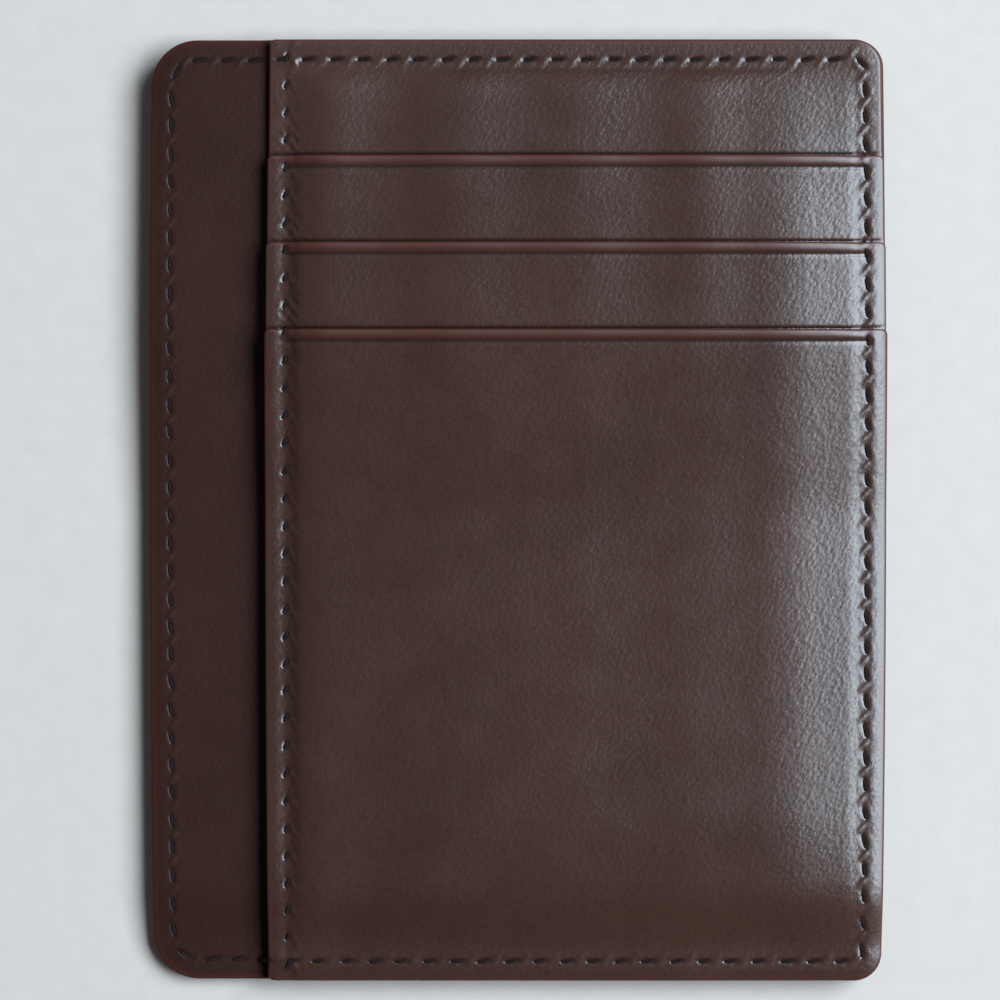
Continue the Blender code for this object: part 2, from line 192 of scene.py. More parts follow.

# Slot edges: the lifted lip, the crease and bead pressed into it with shade painted in the
# crease, the groove in the sheet under it with shade painted along it, and the puckers at its
# lower left corner
LIP_LIFT = 0.16 * MM
LIP_SEAM_CLEAR = 0.6 * MM
LIP_SIDE_RUN = 4 * MM
LIP_RUN = 3.0 * MM
CREASE_IN = 1.35 * MM
CREASE_DEPTH = 0.09 * MM
CREASE_WIDTH = 0.27 * MM
CREASE_SHADE = 0.55
CREASE_SIDE_IN = 1.4 * MM
CREASE_SIDE_RUN = 1.2 * MM
BEAD_IN = 0.62 * MM
BEAD_HEIGHT = 0.10 * MM
BEAD_WIDTH = 0.44 * MM
BEAD_PAINT = 0.45
CONTACT_RISE = 0.08 * MM
CONTACT_DEPTH = 0.13 * MM
CONTACT_WIDTH = 0.2 * MM
EDGE_PAINT_WIDTH = 0.36 * MM
PUCKER_HEIGHT = 0.05 * MM
PUCKER_LENGTH = 0.95 * MM
PUCKER_OUT = 1.6 * MM
PUCKER_ALONG = (0.78, 0.63)
PUCKER_SPREAD = (1.7 * MM, 1.5 * MM)

# Mesh steps: the rings of a rim, the lines of a seam's band, and the spacing of the rest
RIM_INSETS = tuple(d * MM for d in (0.0, 0.02, 0.055, 0.11, 0.18, 0.28, 0.42))
BAND_OFFSETS = tuple(
    s * d * MM for d in (1.35, 1.05, 0.8, 0.6, 0.45, 0.32, 0.21, 0.1) for s in (-1, 1)
) + (0.0,)
ROW_SHARE = 0.87
LINE_STEP = 0.25 * MM
RIM_STEP = 0.3 * MM
BAND_STEP = 0.2 * MM
FINE_STEP = 0.5 * MM
COARSE_STEP = 2.4 * MM
ROW_STEP = 0.35 * MM
CREASE_DROPS = tuple(
    d * MM for d in (0.55, 0.7, 0.85, 0.99, 1.11, 1.2, 1.28, 1.35, 1.42, 1.5, 1.6, 1.74, 1.92)
)
CONTACT_RISES = tuple(d * MM for d in (-0.36, -0.2, -0.09, 0.0, 0.08, 0.16, 0.26, 0.4, 0.58))

# How far one family of mesh points keeps from another
BAND_HALF = 1.55 * MM
BAND_LAP = 0.12 * MM
ROWS_CLEAR = 0.25 * MM
BAND_ROWS_CLEAR = 0.15 * MM
CONTACT_MIDDLE = 0.1 * MM
CONTACT_CLEAR = 0.6 * MM
RIM_CLEAR = 0.5 * MM
FINE_RIM_CLEAR = 0.62 * MM
COARSE_RIM_CLEAR = 0.8 * MM

# A rim's radius as a share of the sheet's thickness, and how near two levels are the same edge
EDGE_ROUNDING = 0.62
SAME_EDGE = 1 * MM


def floor_of(node):
    return side(node, 0, 1)


# From the surface that the wallet lies on upwards: sheet, thickness, space above it, the y of
# its lower end where it stops short, and the run in which the sheets above it settle there.
STACK = (
    ("back_window_frame", LEATHER, GAP, None, 0.0),
    ("back_window_film", FILM, WINDOW_SPACE, floor_of("back_window_film"), LINER_RUN),
    ("back_slot_2_facing", FACING, GAP, floor_of("back_slot_2_facing"), FACING_RUN),
    ("back_slot_2_liner", TEXTILE, GAP, None, 0.0),
    ("back_slot_1_facing", FACING, GAP, floor_of("back_slot_1_facing"), FACING_RUN),
    ("back_slot_1_bottom_thread", SLOT_SEAM_SPACE, 0.0, floor_of("back_slot_1_liner"), LINER_RUN),
    ("back_slot_1_liner", TEXTILE, GAP, floor_of("back_slot_1_liner"), LINER_RUN),
    ("back_panel", LEATHER, SEAM_SPACE, None, 0.0),
    ("back_shield", FOIL, SEAM_SPACE, None, 0.0),
    ("back_lining", LEATHER, CASH_SPACE, None, 0.0),
    ("front_lining", TEXTILE, GAP, None, 0.0),
    ("front_shield", FOIL, GAP, None, 0.0),
    ("front_panel", LEATHER, GAP, None, 0.0),
    ("front_slot_1_liner", TEXTILE, GAP, floor_of("front_slot_1_liner"), LINER_RUN),
    ("front_slot_1_bottom_thread", SLOT_SEAM_SPACE, 0.0, floor_of("front_slot_1_liner"), LINER_RUN),
    ("front_slot_1_facing", FACING, GAP, floor_of("front_slot_1_facing"), FACING_RUN),
    ("front_slot_2_liner", TEXTILE, GAP, None, 0.0),
    ("front_slot_2_facing", FACING, GAP, floor_of("front_slot_2_facing"), FACING_RUN),
    ("front_slot_3_liner", TEXTILE, GAP, None, 0.0),
    ("front_slot_3_panel", LEATHER, 0.0, None, 0.0),
)
THICKNESS = {row[0]: row[1] for row in STACK}
FRONT_OUTER = ("front_panel", "front_slot_1_facing", "front_slot_2_facing", "front_slot_3_panel")
BACK_OUTER = ("back_panel", "back_slot_1_facing", "back_slot_2_facing", "back_window_frame")


# Small fields


def ease(t):
    """Rises smoothly from 0 to 1."""
    t = np.clip(t, 0.0, 1.0)
    return t * t * (3.0 - 2.0 * t)


def pillow(t, onset=4):
    """Rises steeply from 0 and levels out at 1, as a filled pocket does from its seam."""
    t = np.clip(t, 0.0, 1.0)
    return ease(onset * t) * (1 - (1 - t) ** 2)


def shoulder(t, even=0.5, onset=7):
    """Rises from 0 at an even slope up to t = even, then levels out at 1."""
    t = np.clip(t, 0.0, 1.0)
    late = np.clip((t - even) / (1 - even), 0, 1)
    rise = np.minimum(t, even) + (1 - even) * (late - late**2 / 2)
    return ease(onset * t) * rise / (even + (1 - even) / 2)


def bell(d, width):
    return np.exp(-((d / width) ** 2))


def bowed(x, y):
    """The x of a point once the outline's sides are bowed."""
    return x * (1 - SIDE_BOW / RIGHT * (y / TOP) ** 2)


def depth_inside(x, y, rect, radii):
    """How far a point is inside a rectangle (left, right, bottom, top) with rounded corners.
    radii: lower left, lower right, upper right, upper left."""
    left, right, bottom, top = rect
    low_left, low_right, up_right, up_left = radii
    dx = x - (left + right) / 2
    dy = y - (bottom + top) / 2
    low = np.where(dx < 0, low_left, low_right)
    high = np.where(dx < 0, up_left, up_right)
    radius = np.where(dy < 0, low, high)
    qx = np.abs(dx) - (right - left) / 2 + radius
    qy = np.abs(dy) - (top - bottom) / 2 + radius
    corner = np.hypot(np.maximum(qx, 0), np.maximum(qy, 0))
    return radius - corner - np.minimum(np.maximum(qx, qy), 0)


def rounded_ring(rect, radii, step, inset=0.0):
    """Points round a rounded rectangle, counter-clockwise. inset draws the ring in."""
    left, right, bottom, top = rect
    centres = (
        (left + radii[0], bottom + radii[0]),
        (right - radii[1], bottom + radii[1]),
        (right - radii[2], top - radii[2]),
        (left + radii[3], top - radii[3]),
    )
    points = []
    for i in range(4):
        count = max(6, round(radii[i] * math.pi / 2 / step))
        angles = math.pi + math.pi / 2 * (i + np.arange(count + 1) / count)
        radius = radii[i] - inset
        turn = np.stack([np.cos(angles), np.sin(angles)], 1) * radius + centres[i]
        points.append(turn)
        ahead = np.array(centres[(i + 1) % 4])
        angle = math.pi + math.pi / 2 * (i + 1)
        normal = np.array([math.cos(angle), math.sin(angle)])
        start = turn[-1]
        end = ahead + (radii[(i + 1) % 4] - inset) * normal
        count = max(2, round(np.linalg.norm(end - start) / step))
        points.append(start + (end - start) * (np.arange(1, count) / count)[:, None])
    return np.concatenate(points)


def hex_points(rect, step):
    """Evenly spread points over a rectangle, with every second row shifted by half a step."""
    left, right, bottom, top = rect
    rows = np.arange(bottom, top, step * ROW_SHARE)
    columns = np.arange(left, right, step)
    x, y = np.meshgrid(columns, rows)
    x = x + np.where(np.arange(len(rows)) % 2, step / 2, 0.0)[:, None]
    return np.stack([x.ravel(), y.ravel()], 1)


# The shape that the whole stack takes

SEAM_RECT = (LEFT + SEAM_IN, RIGHT - SEAM_IN, BOTTOM + SEAM_IN, TOP - SEAM_IN)
SEAM_RADII = (
    CORNER_LEFT - SEAM_IN,
    CORNER_RIGHT - SEAM_IN,
    CORNER_RIGHT - SEAM_IN,
    CORNER_LEFT - SEAM_IN,
)
OUTLINE_RECT = (LEFT, RIGHT, BOTTOM, TOP)
OUTLINE_RADII = (CORNER_LEFT, CORNER_RIGHT, CORNER_RIGHT, CORNER_LEFT)
WINDOW_RECT = (
    CARD_X - WINDOW_SIZE[0] / 2,
    CARD_X + WINDOW_SIZE[0] / 2,
    WINDOW_FLOOR,
    WINDOW_FLOOR + WINDOW_SIZE[1],
)
WINDOW_RADII = (WINDOW_CORNER,) * 4


def grown(rect, by):
    left, right, bottom, top = rect
    return (left - by, right + by, bottom - by, top + by)


WINDOW_SEAM_RECT = grown(WINDOW_RECT, WINDOW_SEAM_OUT)
WINDOW_SEAM_RADII = (WINDOW_CORNER + WINDOW_SEAM_OUT,) * 4


def rim_seam_distance(x, y):
    return np.abs(depth_inside(x, y, SEAM_RECT, SEAM_RADII))


def side_seam_distance(x, y):
    return np.abs(x - SIDE_SEAM_X)


def window_seam_distance(x, y):
    return np.abs(depth_inside(x, y, WINDOW_SEAM_RECT, WINDOW_SEAM_RADII))


def stacked(name, y):
    """The z of a sheet's lower face when the stack lies flat."""
    z = np.zeros_like(y)
    for other, thickness, space, end, run in STACK:
        if other == name:
            break
        share = 1.0 if end is None else ease((y - end + run) / run)
        z = z + (thickness + space) * share
    return z


def swell(x, y):
    """How far the front's card pockets stand up from their seams."""
    left_in, right_in, bottom_in, top_in = SWELL_IN
    from_left = x - SIDE_SEAM_X - left_in
    from_right = RIGHT - SEAM_IN - right_in - x
    from_top = TOP - SEAM_IN - top_in - y
    from_bottom = y - BOTTOM - SEAM_IN
    steep = SWELL_LEFT_SHARE
    across = steep * pillow(from_left / SWELL_SEAM_RUN)
    across = across + (1 - steep) * ease((from_left + SWELL_LEFT_AHEAD) / SWELL_LEFT_RUN)
    across = across * ease(from_left / SWELL_LEFT_CATCH)
    across = across * shoulder(from_right / SWELL_RIGHT_RUN)
    steep = SWELL_TOP_SHARE
    along = steep * pillow(from_top / SWELL_SEAM_RUN) + (1 - steep) * ease(from_top / SWELL_TOP_RUN)
    along = along * ease((from_bottom + SWELL_BOTTOM_AHEAD) / SWELL_BOTTOM_RUN)
    along = along * ease((from_bottom - bottom_in) / SWELL_BOTTOM_CATCH)
    return PUFF * across * along


def ripples(x, y):
    """Soft upright waves, strongest at the top edge of the front."""
    z = np.zeros_like(x)
    for centre, width, share in CRESTS:
        drift = RIPPLE_LEAN * (y - TOP)
        z = z + share * bell(x - centre - drift, width)
    left_in, _, _, top_in = SWELL_IN
    fade = ease((y - SLOT_EDGES[2] + RIPPLE_BELOW) / RIPPLE_FADE_RUN)
    held = ease((TOP - SEAM_IN - top_in - y) / RIPPLE_TOP_RUN)
    held = held * ease((x - SIDE_SEAM_X - left_in) / RIPPLE_LEFT_RUN)
    held = held * ease((RIGHT - SEAM_IN - x) / RIPPLE_RIGHT_RUN)
    return RIPPLE * z * (RIPPLE_REST + (1 - RIPPLE_REST) * fade) * held


def shaped(front, x, y, z):
    """Moves a level of the flat stack to where the sewn stack has it. The level it is drawn to is
    the middle of the whole stack, or of the back half alone where the strip lies."""
    middle = stacked("front_lining", y) - CASH_SPACE / 2
    share = ease((x - FRONT_LEFT + HINGE_RUN / 2) / HINGE_RUN)
    pull = RIM_PULL * bell(rim_seam_distance(x, y), RIM_PULL_WIDTH)
    hinge = middle * (1 + share) / 2
    z = hinge + (z - hinge) * (1 - pull)
    inner_pull = SIDE_PULL * bell(x - SIDE_SEAM_X, SIDE_PULL_WIDTH) * (1 - pull / RIM_PULL)
    z = middle + (z - middle) * (1 - inner_pull)
    rim = np.clip(depth_inside(x, y, OUTLINE_RECT, OUTLINE_RADII), 0, EDGE_RUN)
    edge_pull = np.where(z > hinge, FRONT_EDGE_PULL, BACK_EDGE_PULL)
    z = hinge + (z - hinge) * (1 - edge_pull * (1 - rim / EDGE_RUN) ** EDGE_POWER)
    if front:
        free = np.clip(x - FRONT_LEFT, 0, EDGE_RUN)
        z = middle + (z - middle) * (1 - BACK_EDGE_PULL * (1 - free / EDGE_RUN) ** EDGE_POWER)
        z = z + swell(x, y) + ripples(x, y)
    return z


def lip_lift(name, x, y):
    """How far a front slot's free lip stands off what is under it."""
    if name not in FRONT_OUTER[1:]:
        return 0.0
    drop = SLOT_EDGES[FRONT_OUTER.index(name) - 1] - y
    between = ease((x - SIDE_SEAM_X - LIP_SEAM_CLEAR) / LIP_SIDE_RUN)
    between = between * ease((RIGHT - SEAM_IN - LIP_SEAM_CLEAR - x) / LIP_SIDE_RUN)
    return LIP_LIFT * (1 - np.clip(drop / LIP_RUN, 0, 1)) ** 2 * between


def level(name, x, y, share):
    """The z of a sheet at a share of its thickness: 0 is its lower face and 1 its upper."""
    z = stacked(name, y) + THICKNESS[name] * share
    z = shaped(name.startswith("front"), x, y, z)
    return z + lip_lift(name, x, y)


# Seams: where every stitch is


def stitches_along(points, closed, slant, first=0.0, length=STITCH):
    """(x, y, angle, length) of each stitch along a line of points, varied a little by chance.
    slant turns each one on its seam, and first is the share of a pitch by which they start late."""
    if closed:
        points = np.concatenate([points, points[:1]])
    runs = np.hypot(*np.diff(points, axis=0).T)
    along = np.concatenate([[0.0], np.cumsum(runs)])
    count = round(along[-1] / PITCH)
    middles = (np.arange(count) + 0.5 + first) / count * along[-1]
    middles = middles[middles < along[-1]] if not closed else middles % along[-1]
    chance = np.random.default_rng(count)
    reach = 0.3 * STITCH
    places = []
    for middle in middles:
        middle += chance.normal(0.0, PLACE_VARIES)
        ends = [middle - reach, middle + reach]
        x = np.interp(ends, along, points[:, 0])
        y = np.interp(ends, along, points[:, 1])
        angle = math.atan2(y[1] - y[0], x[1] - x[0]) + slant + chance.normal(0.0, ANGLE_VARIES)
        own_length = length * (1 + chance.normal(0.0, LENGTH_VARIES))
        places.append((x.mean(), y.mean(), angle, own_length))
    return places


RIM_LINE = rounded_ring(SEAM_RECT, SEAM_RADII, LINE_STEP)
SIDE_LINE = np.array(
    [(SIDE_SEAM_X, BOTTOM + SIDE_SEAM_SHORT), (SIDE_SEAM_X, TOP - SIDE_SEAM_SHORT)]
)
WINDOW_LINE = rounded_ring(WINDOW_SEAM_RECT, WINDOW_SEAM_RADII, LINE_STEP)

RIM_STITCHES = stitches_along(RIM_LINE, True, RIM_SLANT, RIM_START)
SIDE_STITCHES = stitches_along(SIDE_LINE, False, SIDE_SLANT, length=SIDE_STITCH)
WINDOW_STITCHES = stitches_along(WINDOW_LINE, True, RIM_SLANT)


def stitch_frame(x, y, place):
    """Coordinates along and across a stitch."""
    cx, cy, angle = place[:3]
    dx = x - cx
    dy = y - cy
    along = dx * math.cos(angle) + dy * math.sin(angle)
    across = dy * math.cos(angle) - dx * math.sin(angle)
    return along, across


def ridge(x, y, centre, angle, half_length):
    """A short narrow ridge of leather."""
    along, across = stitch_frame(x, y, (*centre, angle))
    return bell(along, half_length) * bell(across, RIDGE_WIDTH)


def stitch_ridges(x, y, place):
    """The slanting ridge ahead of a stitch, and the fold that the side seam draws beside it."""
    cx, cy, angle, _ = place
    ahead = (cx + PITCH / 2 * math.cos(angle), cy + PITCH / 2 * math.sin(angle))
    z = ridge(x, y, ahead, RIDGE_ANGLE, RIDGE_LENGTH)
    if abs(cx - SIDE_SEAM_X) < ON_SIDE_SEAM:
        beside = (cx + FOLD_PLACE[0], cy + FOLD_PLACE[1])
        z = z + FOLD_SHARE * ridge(x, y, beside, FOLD_ANGLE, FOLD_LENGTH)
    return z


def trough(along, across, length, width):
    """A long narrow field with blunt ends, 1 in its middle."""
    return np.exp(-((along / length) ** 4) - (across / width) ** 2)


def stitch_relief(x, y, stitches):
    """(height, painted shade) that the stitches press into a sheet's outer face; the shade is
    painted round each stitch bed.
    """
    z = np.zeros_like(x)
    painted_shade = np.zeros_like(x)
    for place in stitches:
        close = (np.abs(x - place[0]) < STITCH_REACH) & (np.abs(y - place[1]) < STITCH_REACH)
        near = np.nonzero(close)[0]
        if not len(near):
            continue
        along, across = stitch_frame(x[near], y[near], place)
        length = place[3]
        bed = trough(along, across, BED_LENGTH * length, BED_WIDTH)
        lips = bell(along, LIP_LENGTH) * bell(np.abs(across) - LIP_OUT, LIP_WIDTH)
        ridges = stitch_ridges(x[near], y[near], place)
        z[near] += LIP_HEIGHT * lips + RIDGE_HEIGHT * ridges - BED_DEPTH * bed
        # Shade painted round the stitch's bed
        painted_shade[near] += trough(along, across, SHADE_LENGTH * length, SHADE_WIDTH)
    return z, np.clip(painted_shade, 0.0, 1.0)


# Sheets


class Sheet:
    """One sheet's outline: its rectangle, corner radii and any openings."""

    def __init__(self, name, left, right, bottom, top, radii, openings=False):
        self.name = name
        self.rect = (left, right, bottom, top)
        self.radii = radii
        self.openings = openings

    def has_slot_edge(self):
        return self.rect[3] < TOP - SAME_EDGE

    def slot_edges(self):
        """The slot edges that bear on its outer face."""
        if self.name == "back_lining":
            return []
        return [edge for edge in SLOT_EDGES if edge < self.rect[3] - SAME_EDGE]

    def depth(self, x, y):
        """How far inside its edges a point is."""
        depth = depth_inside(x, y, self.rect, self.radii)
        if self.openings:
            depth = np.minimum(depth, -depth_inside(x, y, WINDOW_RECT, WINDOW_RADII))
            notch = np.hypot(x - CARD_X, y - self.rect[3]) - NOTCH_RADIUS
            depth = np.minimum(depth, notch)
        return depth

    def rings(self, inset, step):
        """The rings of points at an inset from its edges."""
        outer = rounded_ring(self.rect, self.radii, step, inset)
        if not self.openings:
            return [outer]
        return [self.notched(outer, inset, step), self.window_ring(inset, step)]

    def notched(self, ring, inset, step):
        """The outer ring with the thumb notch's arc in place of the run that it cuts off."""
        top = self.rect[3]
        radius = NOTCH_RADIUS + inset
        kept = np.hypot(ring[:, 0] - CARD_X, ring[:, 1] - top) > radius + step / 2
        gap = np.nonzero(~kept)[0]
        start = -math.asin(inset / radius)
        count = round(math.pi * NOTCH_RADIUS / step)
        angles = start + (-math.pi - 2 * start) * np.arange(count + 1) / count
        arc = np.stack([CARD_X + radius * np.cos(angles), top + radius * np.sin(angles)], 1)
        return np.concatenate([ring[: gap[0]], arc, ring[gap[-1] + 1 :]])

    def window_ring(self, inset, step):
        return rounded_ring(WINDOW_RECT, WINDOW_RADII, step, -inset)

    def area(self):
        """Its flat area."""
        left, right, bottom, top = self.rect
        area = (right - left) * (top - bottom)
        area -= (1 - math.pi / 4) * sum(radius**2 for radius in self.radii)
        if self.openings:
            area -= WINDOW_SIZE[0] * WINDOW_SIZE[1] + math.pi * NOTCH_RADIUS**2 / 2
        return area


def band_points(line, closed):
    """Close-set points along a seam."""
    ahead = np.roll(line, -1, axis=0) if closed else line[1:]
    start = line if closed else line[:-1]
    points = []
    for a, b in zip(start, ahead):
        length = np.linalg.norm(b - a)
        if length < 1e-9:
            continue
        normal = np.array([-(b - a)[1], (b - a)[0]]) / length
        count = max(1, round(length / BAND_STEP))
        steps = a + (b - a) * (np.arange(count) / count)[:, None]
        points += [steps + offset * normal for offset in BAND_OFFSETS]
    return np.concatenate(points)


def row_points(rect, rows):
    """Points along level rows across a sheet."""
    x, y = np.meshgrid(np.arange(rect[0], rect[1], ROW_STEP), rows)
    return np.stack([x.ravel(), y.ravel()], 1)


RIM_BAND = band_points(rounded_ring(SEAM_RECT, SEAM_RADII, BAND_STEP), True)
SIDE_BAND = band_points(SIDE_LINE, False)
WINDOW_BAND = band_points(rounded_ring(WINDOW_SEAM_RECT, WINDOW_SEAM_RADII, BAND_STEP), True)


def clear_of(points, distances, by):
    """Which points are further than a given distance from every seam."""
    x, y = points.T
    keep = np.ones(len(points), bool)
    for distance in distances:
        keep &= distance(x, y) > by
    return keep


def fine_interior(sheet, shown):
    """Points inside a sheet's rim for its outer face: fine where it shows, coarse elsewhere."""

    def inside(points, rim_clear):
        x, y = points.T
        return (sheet.depth(x, y) > rim_clear) & shown(x, y)

    seams = [(RIM_BAND, rim_seam_distance)]
    if sheet.name != "back_lining":
        seams.append((SIDE_BAND, side_seam_distance))
    if sheet.openings:
        seams.append((WINDOW_BAND, window_seam_distance))
    top = sheet.rect[3]
    creased = sheet.has_slot_edge()
    families = []
    taken = []
    for points, distance in seams:
        keep = inside(points, RIM_CLEAR) & clear_of(points, taken, BAND_HALF - BAND_LAP)
        if creased:
            keep &= top - points[:, 1] > CREASE_DROPS[-1] + BAND_ROWS_CLEAR
        families.append(points[keep])
        taken.append(distance)
    if creased:
        points = row_points(sheet.rect, [top - drop for drop in CREASE_DROPS])
        families.append(points[inside(points, RIM_CLEAR)])
    for edge in sheet.slot_edges():
        points = row_points(sheet.rect, [edge + rise for rise in CONTACT_RISES])
        families.append(points[inside(points, RIM_CLEAR) & clear_of(points, taken, BAND_HALF)])
    points = hex_points(sheet.rect, FINE_STEP)
    keep = inside(points, FINE_RIM_CLEAR) & clear_of(points, taken, BAND_HALF)
    if creased:
        keep &= top - points[:, 1] > CREASE_DROPS[-1] + ROWS_CLEAR
    for edge in sheet.slot_edges():
        keep &= np.abs(points[:, 1] - edge - CONTACT_MIDDLE) > CONTACT_CLEAR
    families.append(points[keep])
    points = plain_interior(sheet)
    families.append(points[~shown(*points.T)])
    return np.concatenate(families)


def plain_interior(sheet):
    """Coarse points inside a sheet's rim."""
    points = hex_points(sheet.rect, COARSE_STEP)
    return points[sheet.depth(*points.T) > COARSE_RIM_CLEAR]


def triangulate(points, rings, sheet):
    """Triangles over points. rings lists the index ranges of the closed rings that bound it."""
    edges = []
    for start, end in rings:
        edges += [(i, i + 1 if i + 1 < end else start) for i in range(start, end)]
    scaled = [Vector(p) for p in (points / MM).tolist()]
    out = delaunay_2d_cdt(scaled, edges, [], 0, 1e-6, True)
    names = [origin[0] for origin in out[3]]
    faces = np.array([[names[i] for i in face] for face in out[2]])
    centre = points[faces].mean(axis=1)
    return faces[sheet.depth(*centre.T) > 0]


def rim_share(depth, thickness):
    """How much of its half thickness a face has at a depth inside the sheet's edge."""
    radius = EDGE_ROUNDING * thickness
    return np.sqrt(np.clip(1 - (1 - np.clip(depth / radius, 0, 1)) ** 2, 0, 1))


def build_sheet(sheet, outer, interior, relief):
    """A closed sheet. outer is 1 if its upper face is the fine one and -1 if its lower face is.
    interior is the points of the fine face, and relief gives its (height, painted shade, paint)."""
    name = sheet.name
    rims = [np.concatenate(sheet.rings(inset, RIM_STEP)) for inset in RIM_INSETS]
    lengths = [len(ring) for ring in sheet.rings(0.0, RIM_STEP)]
    ends = np.cumsum(lengths).tolist()
    bounds = list(zip([0] + ends[:-1], ends))
    fine = np.concatenate(rims[1:] + [interior])
    plain = np.concatenate(rims[1:] + [plain_interior(sheet)])
    edge = rims[0]
    count = len(edge)
    fine_faces = triangulate(np.concatenate([edge, fine]), bounds, sheet)
    plain_faces = triangulate(np.concatenate([edge, plain]), bounds, sheet)
    plain_faces = np.where(plain_faces < count, plain_faces, plain_faces + len(fine))
    points = np.concatenate([edge, fine, plain])
    x, y = points.T
    depth = np.maximum(sheet.depth(x, y), 0.0)
    depth[:count] = 0.0
    is_fine = np.zeros(len(points), bool)
    is_fine[count : count + len(fine)] = True
    middle = level(name, x, y, 0.5)
    far = level(name, x, y, 1.0 if outer > 0 else 0.0)
    near = level(name, x, y, 0.0 if outer > 0 else 1.0)
    height, painted_shade, paint = relief(sheet, x, y, depth)
    far = far + outer * height
    face = np.where(is_fine, far, near)
    z = middle + (face - middle) * rim_share(depth, THICKNESS[name])
    winding = 1 if outer > 0 else -1
    faces = [fine_faces[:, ::winding], plain_faces[:, ::-winding]]
    # Masks: the shade painted on the fine face, and the edge paint
    masks = {"painted_shade": np.where(is_fine, painted_shade, 0.0), "paint": paint}
    vertices = np.stack([bowed(x, y), y, z], 1).tolist()
    return mesh_object(name + "_skin", vertices, np.concatenate(faces).tolist(), masks)


def mesh_object(name, vertices, faces, masks=None):
    """A smooth mesh in the scene, with a number at each point for every mask."""
    mesh = bpy.data.meshes.new(name)
    mesh.from_pydata(vertices, [], faces)
    for mask, values in (masks or {}).items():
        layer = mesh.attributes.new(mask, "FLOAT", "POINT")
        layer.data.foreach_set("value", np.ascontiguousarray(values, np.float32))
    mesh.shade_smooth()
    mesh.update()
    obj = bpy.data.objects.new(name, mesh)
    bpy.context.scene.collection.objects.link(obj)
    return obj


def finish_piece(piece, node, slot, mats):
    piece.data.materials.append(mats[slot])
    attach(piece, "root")
    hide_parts(node)


# Relief of the leather sheets


def leather_relief(sheet, x, y, depth):
    """(height, painted shade, paint) of a leather sheet's outer face."""
    stitches = list(RIM_STITCHES)
    if sheet.name != "back_lining":
        stitches += SIDE_STITCHES
    if sheet.openings:
        stitches += WINDOW_STITCHES
    height, painted_shade = stitch_relief(x, y, stitches)
    paint = bell(depth, EDGE_PAINT_WIDTH)
    left, right, _, top = sheet.rect
    if sheet.has_slot_edge():
        drop = top - y
        inside = ease((x - left - CREASE_SIDE_IN) / CREASE_SIDE_RUN)
        inside = inside * ease((right - CREASE_SIDE_IN - x) / CREASE_SIDE_RUN)
        crease = bell(drop - CREASE_IN, CREASE_WIDTH) * inside
        bead = bell(drop - BEAD_IN, BEAD_WIDTH) * inside
        height = height - CREASE_DEPTH * crease + BEAD_HEIGHT * bead
        # Shade painted in the crease
        painted_shade = np.clip(painted_shade + CREASE_SHADE * crease, 0, 1)
        paint = np.clip(paint + BEAD_PAINT * bead, 0, 1)
    # Just above each slot edge that bears on it: a groove, with shade painted along it where the lip
    # over it shades the gap
    for edge in sheet.slot_edges():
        contact = bell(y - edge - CONTACT_RISE, CONTACT_WIDTH)
        height = height - CONTACT_DEPTH * contact
        painted_shade = np.clip(painted_shade + contact, 0, 1)
    if sheet.name in FRONT_OUTER:
        height = height + puckers(x, y)
    return height, painted_shade, paint


def puckers(x, y):
    """Short folds that the side seam draws into each slot's lower left corner."""
    z = np.zeros_like(x)
    for edge in SLOT_EDGES:
        dx = x - SIDE_SEAM_X - PUCKER_OUT
        dy = y - edge - PUCKER_OUT
        phase = (dx * PUCKER_ALONG[0] + dy * PUCKER_ALONG[1]) / PUCKER_LENGTH
        spread = bell(dx, PUCKER_SPREAD[0]) * bell(dy, PUCKER_SPREAD[1])
        z = z + PUCKER_HEIGHT * np.cos(2 * math.pi * phase) * spread
    return z


def no_relief(sheet, x, y, depth):
    flat = np.zeros_like(x)
    return flat, flat, flat


# Materials


